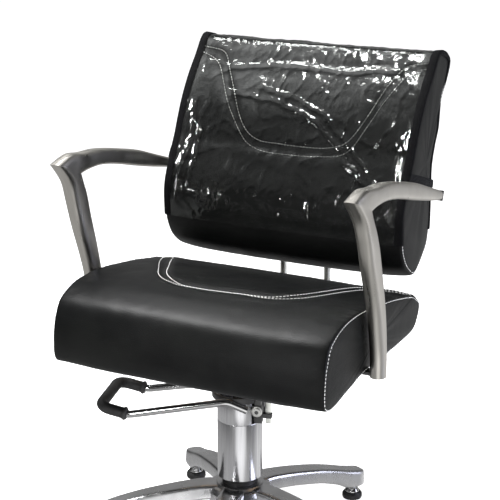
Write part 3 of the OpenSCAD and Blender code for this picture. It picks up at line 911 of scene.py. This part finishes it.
jacket_low, jacket_high = box_mm("column_jacket")
seal_low, seal_high = box_mm("column_seal")
r = jacket_high.x
bm = bmesh.new()
profile = [(r - 3, jacket_low.z), (r, jacket_low.z), (r, jacket_high.z), (r - 3, jacket_high.z)]
lathe(bm, profile, sides=96, bevel=0.9)
piece("column_jacket_made", "base", COLUMN, bm, ("column_jacket",))

bm = bmesh.new()
r = seal_high.x
low_z, high_z = seal_low.z, seal_high.z
lathe(bm, [(r - 6, low_z), (r, low_z), (r - 1.5, low_z + 7), (r - 1.5, high_z), (r - 8, high_z)], sides=72)
piece("column_seal_made", "base", RUBBER, bm, ("column_seal",))

for node, body, slot, finish, width in (
    ("pump_collar", "base", "chrome", COLUMN, 0.8),
    ("pump_head", "base", "black_steel", ENAMEL, 0.25),
    ("pivot_pin", "base", "plain_steel", ZINC, 0.3),
    ("pivot_washers", "base", "chrome", ZINC, 0.5),
    ("pivot_bolt_heads", "base", "plain_steel", ZINC, 0.6),
    ("base_nut", "base", "plain_steel", ZINC, 0.8),
    ("stop_rod", "base", "chrome", BRIGHT, 0.6),
    ("stop_rod_clip", "base", "black_steel", ENAMEL, 0.6),
    ("foot_stems", "base", "plain_steel", ZINC, 0.3),
    ("lever_yoke", "lever", "black_steel", ENAMEL, 1.0),
    ("plunger", "plunger", "plain_steel", ZINC, 0.3),
    ("plunger_cap", "plunger", "plain_steel", ZINC, 0.4),
    ("ram", "ram", "chrome", CHROME, 0.8),
    ("seat_socket", "seat", "black_steel", ENAMEL, 0.8),
    ("seat_saddle", "seat", "black_steel", ENAMEL, 1.0),
    ("saddle_bolts", "seat", "plain_steel", ZINC, 0.4),
    ("seat_frame", "seat", "black_steel", ENAMEL, 1.0),
    ("arm_tabs", "seat", "black_steel", ENAMEL, 0.8),
    ("arm_tab_bolts", "seat", "plain_steel", ZINC, 0.5),
    ("arm_end_caps", "seat", "black_plastic", PLASTIC, 1.0),
    ("arm_foot_caps", "seat", "black_plastic", PLASTIC, 0.8),
    ("arm_spacers", "seat", "black_plastic", PLASTIC, 0.8),
    ("tube_collars", "seat", "black_steel", ENAMEL, 0.8),
):
    bevelled(node, body, finish, width)

# the return spring is squeezed between the pump head and the plunger's cap
COIL_BACK, COIL_R, WIRE_R, COIL_STEPS, COIL_TURNS = 24.5, 4.4, 0.45, 20, 6
spring_low, spring_high = box_mm("plunger_spring")
coil = []
for k in range(COIL_STEPS * COIL_TURNS + 1):
    turn = 2 * math.pi * k / COIL_STEPS
    share = k / (COIL_STEPS * COIL_TURNS)
    z = spring_low.z + WIRE_R + (spring_high.z - spring_low.z - 2 * WIRE_R) * share
    coil.append(lever_point((COIL_R * math.cos(turn) - COIL_BACK, COIL_R * math.sin(turn), z)))
bm = bmesh.new()
sweep(bm, coil, [WIRE_R] * len(coil), 10)
spring = piece("plunger_spring_made", None, ZINC, bm, ("plunger_spring",), sharp=50)
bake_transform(spring)

# black hexagons set into the pivot's bolt heads: painted shade standing in for the dark recess of each hex
# socket
HEAD_FACE, SOCKET_R = 37.3, 3.9
bm = bmesh.new()
for sign in (-1, 1):
    deep, face = (lever_point((-PIVOT_BACK, sign * y, pivot.z)) for y in (HEAD_FACE - 2.5, HEAD_FACE + 0.1))
    sweep(bm, [deep, face], [SOCKET_R, SOCKET_R], 6)
piece("pivot_bolt_socket_shade", "base", ENAMEL, bm, (), sharp=30)


# ---------------------------------------------------------------- base

foot_low, foot_high = box_mm("foot_pads")
base_high = box_mm("star_base")[1]
LEG_COUNT = 5
LEG_PHASE = 352.7
FOOT_CIRCLE = 277.0
LEG_TOP = [(30, 112.4), (67, 112), (112, 105.5), (150, 98), (190, 89), (224, 79), (255, 68), (292, 57.6)]
LEG_UNDER = [(30, 83), (60, 84), (124, 74), (183, 61), (232, 43), (252, 28.5), (266, 27), (292, 27)]


def height_at(line, u):
    for (a, za), (b, zb) in zip(line, line[1:]):
        if u <= b:
            return za + (zb - za) * (u - a) / (b - a)
    return line[-1][1]


bm = bmesh.new()
hub_r, neck_r = 60.0, 42.0
top = base_high.z
lathe(
    bm,
    [
        (20, top - 36), (hub_r - 2, top - 36), (hub_r, top - 14), (hub_r - 5, top - 5), (neck_r + 5, top - 4),
        (neck_r, top), (18, top),
    ],
    sides=96,
    bevel=2.5,
)
for leg in range(LEG_COUNT):
    turn = math.radians(LEG_PHASE + 360 / LEG_COUNT * leg)
    u_axis, v_axis = Vector((math.cos(turn), math.sin(turn), 0)), Vector((-math.sin(turn), math.cos(turn), 0))
    stations = [30 + 262 * k / 66 for k in range(67)] + [294.5, 296.8, 298.6, 299.7, 300.1]
    smoothed = []
    for u in stations:
        near = [u - 12, u - 6, u, u + 6, u + 12]
        zt = sum(height_at(LEG_TOP, max(q, 30)) for q in near) / 5
        zb = sum(height_at(LEG_UNDER, max(q, 30)) for q in near) / 5
        wide = 23 - 5 * (u - 30) / 270
        if u > 280:
            q = min((u - 280) / 20.2, 1)
            shrink = math.sqrt(max(1 - q * q, 0.0))
            wide = 8 + (wide - 8) * shrink
            mid, tall = (zt + zb) / 2, (zt - zb) / 2
            ease = math.sqrt(max(1 - max(0, (u - 290) / 10.3) ** 2, 0.0))
            zt, zb = mid + tall * (0.6 + 0.4 * ease), mid - tall * (0.6 + 0.4 * ease)
            wide *= 0.35 + 0.65 * ease if u > 290 else 1
        smoothed.append((u, zt, zb, wide))
    rings = []
    for u, zt, zb, wide in smoothed:
        ring = []
        for k in range(32):
            c, s = math.cos(2 * math.pi * (k + 0.5) / 32), math.sin(2 * math.pi * (k + 0.5) / 32)
            across_share = math.copysign(abs(c) ** 0.34, c)
            up_share = math.copysign(abs(s) ** 0.34, s)
            draft = 1 + 0.1 * (1 - up_share) / 2
            height = (zt + zb) / 2 + (zt - zb) / 2 * up_share
            ring.append(u_axis * u + v_axis * (wide * across_share * draft) + Vector((0, 0, height)))
        rings.append(ring)
    loft(bm, rings)
piece("star_base_made", "base", ALUMINIUM, bm, ("star_base",), sharp=40)

cups, pads = bmesh.new(), bmesh.new()
cup_low, cup_high = box_mm("foot_cups")
for leg in range(LEG_COUNT):
    turn = math.radians(LEG_PHASE + 360 / LEG_COUNT * leg)
    at = (FOOT_CIRCLE * math.cos(turn), FOOT_CIRCLE * math.sin(turn))
    z0, z1 = cup_low.z, cup_high.z
    profile = [(4, z0 - 0.5), (14.2, z0), (14.2, z0 + 3), (10.4, z1 - 1), (9.4, z1), (4.1, z1)]
    lathe(cups, profile, at, 48, 1.2)
    z0, z1 = foot_low.z, foot_high.z
    profile = [(3, z0), (18.4, z0), (19.5, z0 + 3), (19.4, z1 - 4), (16.6, z1), (4, z1)]
    lathe(pads, profile, at, 48, 1.0)
piece("foot_cups_made", "base", CHROME, cups, ("foot_cups",))
piece("foot_pads_made", "base", RUBBER, pads, ("foot_pads",))


# ---------------------------------------------------------------- studio

def white_floor():
    f = Finish("studio_floor", Roughness=0.9, Specular_IOR_Level=0.1)
    f.link(f.colours(f.noise(1.5, 2), (0.88, 0.88, 0.88), (0.9, 0.9, 0.9)), "Base Color")
    f.shader.inputs["Emission Color"].default_value = (1, 1, 1, 1)
    f.shader.inputs["Emission Strength"].default_value = 0.95
    return f.material


bm = bmesh.new()
bmesh.ops.create_grid(bm, x_segments=2, y_segments=2, size=14)
mesh = bpy.data.meshes.new("floor")
bm.to_mesh(mesh)
bm.free()
floor = bpy.data.objects.new("floor", mesh)
bpy.context.scene.collection.objects.link(floor)
mesh.materials.append(white_floor())
floor.visible_glossy = False
floor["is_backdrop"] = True


def area_light(name, place, size, power, target=(0, 0, 0.5), colour=(1, 1, 1)):
    data = bpy.data.lights.new(name, "AREA")
    data.shape, data.size, data.size_y = "RECTANGLE", size[0], size[1]
    data.energy, data.color = power, colour
    lamp = bpy.data.objects.new(name, data)
    lamp.location = place
    lamp.rotation_euler = (Vector(place) - Vector(target)).to_track_quat("Z", "Y").to_euler()
    bpy.context.scene.collection.objects.link(lamp)
    return lamp


# the key light isn't seen in the film, and small lamps seen only there draw its glints
key = area_light("key", (-0.95, -0.4, 2.5), (0.9, 0.7), 85, target=(0, -0.1, 0.5))
skipped = bpy.data.collections.new("without_key")
for sheet in films:
    skipped.objects.link(sheet)
for entry in skipped.collection_objects:
    entry.light_linking.link_state = "EXCLUDE"
key.light_linking.receiver_collection = skipped

film_only = bpy.data.collections.new("film_only")
for sheet in films:
    film_only.objects.link(sheet)
for name, place, size, power in (
    ("glint_left", (-2.2, -0.6, 1.66), 0.34, 55),
    ("glint_right", (0.37, -1.97, 2.4), 0.3, 45),
    ("glint_high", (-0.5, -0.35, 3.0), 0.3, 35),
    ("glint_low", (-1.9, -2.2, 0.9), 0.16, 12),
):
    lamp = area_light(name, place, (size, size), power, target=(0, 0.2, 0.8))
    lamp.light_linking.receiver_collection = film_only
area_light("top_glint", (-0.9, 0.5, 2.6), (0.8, 0.4), 18, target=(0, 0.2, 0.8))
area_light("overhead", (0.2, 0.3, 3.2), (2.2, 2.2), 25)
area_light("side", (3.2, 0.6, 1.0), (1.6, 2.0), 55, colour=(0.8, 0.83, 1.0))
area_light("strip", (-0.35, -3.0, 0.9), (0.12, 1.8), 22, target=(0, 0, 0.4))

# what the gloss sees: a dim room with soft bright walls, each (direction, cosine at edge, at core, grey)
WALLS = [
    ((0, 0, -1), 0.1, 0.45, 0.45),
    ((0.5, -0.8, -0.25), 0.85, 0.98, 1.0),
    ((0.5, 0.8, -0.2), 0.7, 0.95, 0.4),
    ((-0.45, 0.85, 0.3), 0.75, 0.95, 0.25),
    ((-0.45, -0.5, 0.74), 0.8, 0.96, 0.28),
]
world = bpy.data.worlds.new("studio")
world.use_nodes = True
tree = world.node_tree
direction = tree.nodes.new("ShaderNodeTexCoord").outputs["Generated"]
total = None
for axis, edge, core, grey in WALLS:
    dot = tree.nodes.new("ShaderNodeVectorMath")
    dot.operation = "DOT_PRODUCT"
    dot.inputs[1].default_value = Vector(axis).normalized()
    tree.links.new(direction, dot.inputs[0])
    lobe = tree.nodes.new("ShaderNodeMapRange")
    lobe.interpolation_type = "SMOOTHSTEP"
    for key, value in (("From Min", edge), ("From Max", core), ("To Max", grey)):
        lobe.inputs[key].default_value = value
    tree.links.new(dot.outputs["Value"], lobe.inputs["Value"])
    plus = tree.nodes.new("ShaderNodeMath")
    plus.inputs[1].default_value = 0.04
    tree.links.new(lobe.outputs["Result"], plus.inputs[0])
    if total is not None:
        tree.links.new(total, plus.inputs[1])
    total = plus.outputs[0]
tree.links.new(total, tree.nodes["Background"].inputs["Color"])
bpy.context.scene.world = world
bpy.context.scene.view_settings.view_transform = "Standard"

camera_data = bpy.data.cameras.new("camera")
camera_data.lens = 110.8
camera_data.sensor_width = 36
camera = bpy.data.objects.new("camera", camera_data)
camera.location = (1.225, -2.313, 1.334)
camera.rotation_euler = (math.radians(73.5), 0, math.radians(27.5))
bpy.context.scene.collection.objects.link(camera)
bpy.context.scene.camera = camera

low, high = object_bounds()
